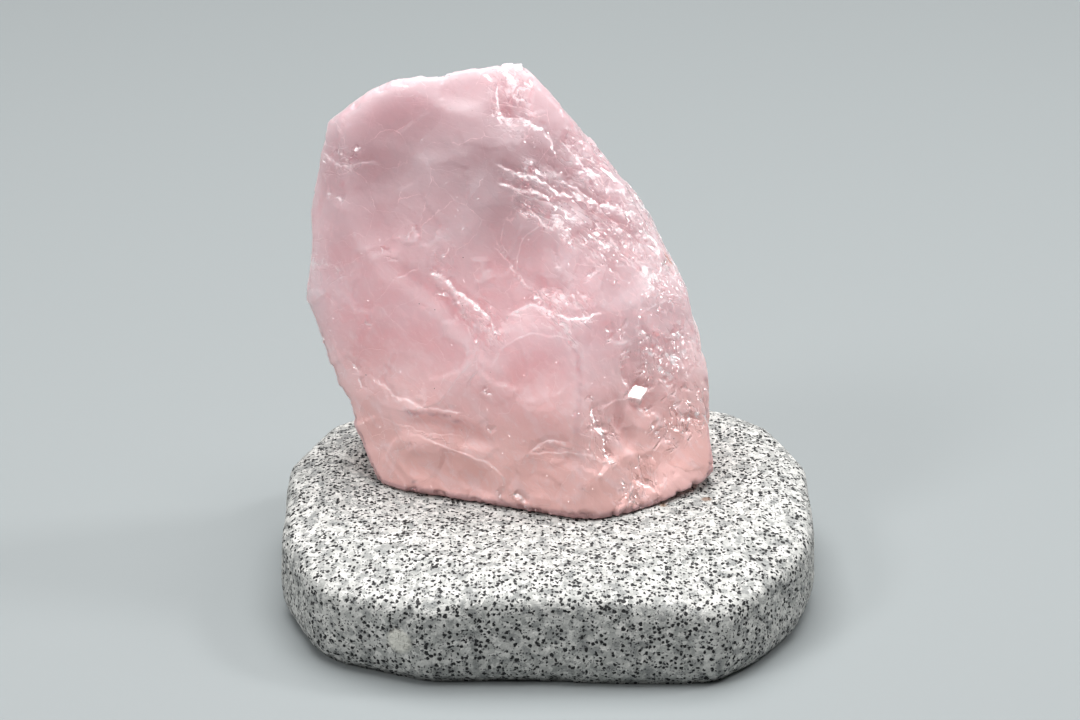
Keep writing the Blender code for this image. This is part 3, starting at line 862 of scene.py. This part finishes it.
def rose_quartz():
    material, tree, shader = new_material("milky_rose_quartz")
    places = millimetres(tree)
    bent = bent_places(tree, places, 6.0, 5.0)
    squeezed = squeezed_places(tree, bent)
    splintery = add(tree, "Attribute", attribute_name="splintery").outputs["Fac"]
    flashing = add(tree, "Attribute", attribute_name="flashing").outputs["Fac"]
    edge = add(tree, "Attribute", attribute_name="edge").outputs["Fac"]
    rim_share = add(tree, "Attribute", attribute_name="rim_share").outputs["Fac"]

    broad, broad_chance, broad_seam = mosaic(tree, bent, 7.0, 0.05)
    chips, chips_chance, _ = mosaic(tree, squeezed, 1.2, 0.55, lean=(-0.40, -0.10, -0.50))
    patchy = add(tree, "TexNoise", {"Vector": squeezed, "Scale": 1 / 1.8, "Detail": 3.0})
    patchy = add(tree, "MapRange", [patchy, 0.46, 0.56], interpolation_type="SMOOTHSTEP")
    chip_share = add(tree, "Math", [splintery, patchy], operation="MULTIPLY")

    body = milky_body_and_painted_light(tree, places, bent, squeezed, broad_chance, broad_seam)
    # painted shade on the edges
    deep = add(tree, "Math", [edge, EDGE_PAINTED_SHADE], operation="MULTIPLY")
    body = add(tree, "MixRGB", [deep, body, linear("#CC9EA5")])
    white, cut = bruise_and_highlight_lines(tree, rim_share)
    # chips in the bands turn white, partly as crushed quartz does and partly as a painted highlight for
    # their sparkle
    chip_white_and_highlight = add(tree, "MapRange", [chips_chance, 0.78, 0.86], interpolation_type="SMOOTHSTEP")
    chip_white_and_highlight = add(tree, "Math", [chip_white_and_highlight, chip_share], operation="MULTIPLY")
    white = add(tree, "Math", [white, chip_white_and_highlight], operation="MAXIMUM")
    whole = add(tree, "Math", [rim_share, WHOLE_RIM], operation="MULTIPLY")
    broken = add(tree, "TexNoise", {"Vector": places, "Scale": 1 / 1.3, "Detail": 4.0})
    broken = add(tree, "MapRange", [broken, 0.42, 0.52], interpolation_type="SMOOTHSTEP")
    broken = add(tree, "Math", [broken, whole], operation="MAXIMUM")
    white = add(tree, "Math", [white, broken], operation="MULTIPLY")
    # the bruised lines' white is partly the stone's own and partly a painted highlight for their glints
    colour = add(tree, "MixRGB", [white, body, linear("#FFECEE")])
    tree.links.new(colour.outputs[0], shader.inputs["Base Color"])

    grain = add(tree, "TexNoise", {"Vector": places, "Scale": 1 / 0.8, "Detail": 4.0})
    relief = add(tree, "Math", [grain, 0.025, broad], operation="MULTIPLY_ADD")
    relief = add(tree, "Math", [chips, chip_share, relief], operation="MULTIPLY_ADD")
    relief = add(tree, "Math", [relief, cut], operation="SUBTRACT")
    calm = add(tree, "MapRange", [flashing, 0.5, 1.0, 1.0, 0.0])
    relief = add(tree, "Math", [relief, calm], operation="MULTIPLY")
    bump = add(tree, "Bump", {"Height": relief, "Strength": 1.0, "Distance": MM})
    glints = splinter_glints(tree, squeezed, splintery, rim_share)
    mirror_tilt = add(tree, "Attribute", attribute_name="mirror_tilt").outputs["Vector"]
    turn = add(tree, "VectorMath", [mirror_tilt, bump], operation="SUBTRACT")
    turned = add(tree, "VectorMath", [turn, glints, bump], operation="MULTIPLY_ADD")
    turned = add(tree, "VectorMath", [turned], operation="NORMALIZE")
    tree.links.new(turned.outputs[0], shader.inputs["Normal"])

    glassy = add(tree, "Math", [chip_share, flashing], operation="MAXIMUM")
    glassy = add(tree, "Math", [glassy, white], operation="MAXIMUM")
    glassy = add(tree, "Math", [glassy, glints], operation="MAXIMUM")
    roughness = add(tree, "MapRange", [glassy, 0.1, 0.7, DULL, GLASSY], interpolation_type="SMOOTHSTEP")
    tree.links.new(roughness.outputs[0], shader.inputs["Roughness"])
    shader.inputs["IOR"].default_value = 1.544
    height = add(tree, "SeparateXYZ", [places]).outputs["Z"]
    inputs = [height, MILKY_FROM, MILKY_TO, LEAST_MILKY, MOST_MILKY]
    milkiness = add(tree, "MapRange", inputs, interpolation_type="SMOOTHSTEP")
    tree.links.new(milkiness.outputs[0], shader.inputs["Subsurface Weight"])
    shader.inputs["Subsurface Radius"].default_value = (1.0, 0.72, 0.72)
    shader.inputs["Subsurface Scale"].default_value = 27 * MM
    shader.inputs["Transmission Weight"].default_value = 0.08
    return material


def finish_piece(piece, material, node):
    piece.data.materials.clear()
    piece.data.materials.append(material)
    piece.data.shade_smooth()
    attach(piece, "root")
    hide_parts(node)
    print(piece.name, "wears", material.name, "with", len(material.node_tree.nodes), "nodes")


finish_piece(chunk, rose_quartz(), "rose_quartz_chunk")

# %% [markdown]
# ## Granite
#
# Fine-grained granite is a tight mosaic: white feldspar, grey glassy quartz and flakes of black mica,
# about 0.6 mm each. Tumbling leaves the surface evenly rough, and plucks mica out of it, so many of the
# black grains sit in small pits. A few larger pits are left where a whole cluster fell out.

# %% A fine slab with a worn surface
GRANITE_FACE = 0.52 * MM
ROUGHNESS_HEIGHT = 0.10
PLUCKED_DEPTH = 0.35
WAVE_HEIGHT = 0.18
slab = fine_copy("granite_slab", "granite", GRANITE_FACE, FACET_MELT)
points, facing = points_of(slab)
height = ROUGHNESS_HEIGHT * swell(points, 0.9, 22) - ROUGHNESS_HEIGHT
height -= PLUCKED_DEPTH * rise(swell(points, 2.6, 23), 0.42, 0.60)
height += WAVE_HEIGHT * swell(points, 9.0, 24)
moved = points + facing * height[:, None]
low, high = (np.array(corner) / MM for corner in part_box("granite_slab"))
moved = np.clip(moved, low, high)
moved[points[:, 2] < low[2] + BASE_SKIN, 2] = low[2]
move_points(slab, moved)
slab.data.calc_loop_triangles()
print("granite triangles:", len(slab.data.loop_triangles))

# %% [markdown]
# Flecks are round spots in some cells of a cell pattern. Each cell's own random colour decides whether
# it has a fleck, and how large. Two sizes lie over each other, as the eye sees large flakes and fine
# dark dust between them.

# %% Flecks of mica
def flecks(tree, places, spacing, radius, share_bare):
    """Round spots in some of the cells of this spacing, all in millimetres."""
    cells = add(tree, "TexVoronoi", {"Vector": places, "Scale": 1 / spacing})
    chance = add(tree, "SeparateColor", [cells.outputs["Color"]])
    size = add(tree, "MapRange", [chance.outputs[1], 0.0, 1.0, 0.55 * radius / spacing, radius / spacing])
    inside = add(tree, "Math", [cells.outputs["Distance"], size], operation="SUBTRACT")
    spot = add(tree, "MapRange", [inside, 0.05, -0.05], interpolation_type="SMOOTHSTEP")
    there = add(tree, "Math", [chance, share_bare], operation="GREATER_THAN")
    return add(tree, "Math", [spot, there], operation="MULTIPLY")


# %% The speckled material
CRYSTAL_AT = (-26.8, -42.0, 8.8)
CRYSTAL_RADIUS = 2.3
# middle, radius, share and colour
MARKS = {
    "rust_beside": ((29.5, -5.8, 19.4), 0.9, 0.75, "#6E4A2E"),
    "rust_under": ((21.4, -8.2, 19.4), 0.7, 0.75, "#7C5636"),
    # the two pits are dark spots only: their darkness is painted shade of a hollow
    "pit_painted_shade": ((-42.2, -33.0, 18.6), 0.9, 0.85, "#2E2822"),
    "pit_beside_painted_shade": ((-40.0, -31.6, 19.2), 0.6, 0.85, "#2E2822"),
}


def granite():
    material, tree, shader = new_material("tumbled_granite")
    places = millimetres(tree)
    bent = bent_places(tree, places, 0.7, 0.8)

    # white feldspar, and grey quartz in clusters
    grains = add(tree, "TexVoronoi", {"Vector": bent, "Scale": 1 / 1.0})
    tone = add(tree, "SeparateColor", [grains.outputs["Color"]]).outputs[1]
    colour = add(tree, "MixRGB", [tone, linear("#9C9D9A"), linear("#D3D2CE")])
    clusters = add(tree, "TexNoise", {"Vector": places, "Scale": 1 / 2.4, "Detail": 5.0})
    clusters = add(tree, "MapRange", [clusters, 0.50, 0.62, 0.0, 0.70], interpolation_type="SMOOTHSTEP")
    colour = add(tree, "MixRGB", [clusters, colour, linear("#7A7C7B")])

    # black mica, in flakes and in dust
    large = flecks(tree, bent, 0.80, 0.40, 0.40)
    small = flecks(tree, bent, 0.48, 0.20, 0.55)
    dust = add(tree, "Math", [small, 0.85], operation="MULTIPLY")
    mica = add(tree, "MixRGB", [dust, colour, linear("#303238")])
    mica = add(tree, "MixRGB", [large, mica, linear("#08090C")])

    # one pale crystal in the front, rust beside the chunk's foot, and two pits whose shade is painted
    crystal = patch_at(tree, bent, CRYSTAL_AT, CRYSTAL_RADIUS, 0.6)
    keep = add(tree, "Math", [crystal, 0.85], operation="MULTIPLY")
    mica = add(tree, "MixRGB", [keep, mica, linear("#E4E2D8")])
    for middle, radius, share, tint in MARKS.values():
        mark = add(tree, "Math", [patch_at(tree, bent, middle, radius, 0.4), share], operation="MULTIPLY")
        mica = add(tree, "MixRGB", [mark, mica, linear(tint)])
    tree.links.new(mica.outputs[0], shader.inputs["Base Color"])

    rough = add(tree, "TexNoise", {"Vector": places, "Scale": 1 / 0.4, "Detail": 4.0})
    pits = add(tree, "Math", [small, 0.6], operation="MULTIPLY")
    pits = add(tree, "Math", [large, pits], operation="MAXIMUM")
    relief = add(tree, "Math", [rough, 0.8], operation="MULTIPLY")
    relief = add(tree, "Math", [relief, pits], operation="SUBTRACT")
    relief = add(tree, "Math", [relief, crystal], operation="ADD")
    bump = add(tree, "Bump", {"Height": relief, "Strength": 1.0, "Distance": 0.3 * MM})
    tree.links.new(bump.outputs[0], shader.inputs["Normal"])
    shader.inputs["Roughness"].default_value = 0.7
    shader.inputs["IOR"].default_value = 1.54
    return material


finish_piece(slab, granite(), "granite_slab")
